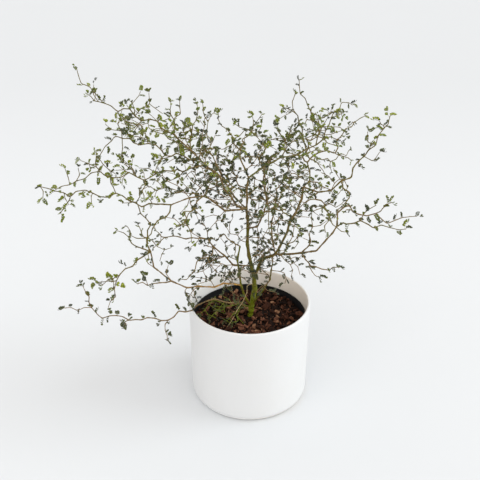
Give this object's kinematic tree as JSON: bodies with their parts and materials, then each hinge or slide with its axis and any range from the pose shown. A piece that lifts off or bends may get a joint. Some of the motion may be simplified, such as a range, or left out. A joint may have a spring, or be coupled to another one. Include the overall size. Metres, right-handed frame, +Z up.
{
  "type": "potted bonsai tree",
  "caption": "Small airy sophora bonsai with zigzag twigs and tiny cut leaves, in a black nursery pot inside a plain white round cover pot.",
  "frame": {"origin": "centre of the cover pot's flat foot", "axes": "+Z up along the pot's axis, -Y to the front, from where the picture looks, and +X to the picture's right"},
  "size_m": [0.3848, 0.299, 0.3938],
  "materials": {
    "ceramic": "satin",
    "nursery_plastic": "matte",
    "soil": "matte",
    "wood": "matte",
    "foliage": "satin"
  },
  "bodies": {
    "root": {"pot": "ceramic", "nursery_pot": "nursery_plastic", "soil": "soil", "framework": "wood", "spray_left_top_spike": "foliage", "spray_left_top_pair": "foliage", "spray_left_top_twin": "foliage", "spray_left_loop": "foliage", "spray_left_spike_upper": "foliage", "spray_left_spike": "foliage", "spray_left_drop": "foliage", "spray_left_front": "foliage", "spray_back_left_high": "foliage", "spray_back_left_wide": "foliage", "spray_back_left_low": "foliage", "spray_centre_top_left": "foliage", "spray_centre_top": "foliage", "spray_centre_back": "foliage", "spray_front_high": "foliage", "spray_front_left": "foliage", "spray_front_low": "foliage", "spray_right_back_arch": "foliage", "spray_right_needle": "foliage", "spray_right_top_spike": "foliage", "spray_right_top_wide": "foliage", "spray_right_back_low": "foliage", "spray_right_corner": "foliage", "spray_right_mid_top": "foliage", "spray_right_spike": "foliage", "spray_right_elbow": "foliage", "spray_right_front": "foliage", "spray_right_arm": "foliage", "spray_right_arm_low": "foliage", "spray_right_low": "foliage", "spray_right_inner": "foliage", "spray_mid_back": "foliage", "spray_mid_right": "foliage", "spray_left_low": "foliage", "spray_left_low_high": "foliage", "spray_left_vertical": "foliage", "spray_left_hook": "foliage", "spray_left_shelf": "foliage", "spray_left_shelf_front": "foliage", "spray_ground_shoot": "foliage", "spray_low_tuft": "foliage", "spray_left_thin_top": "foliage", "spray_right_thin_top": "foliage"}
  },
  "joints": []
}
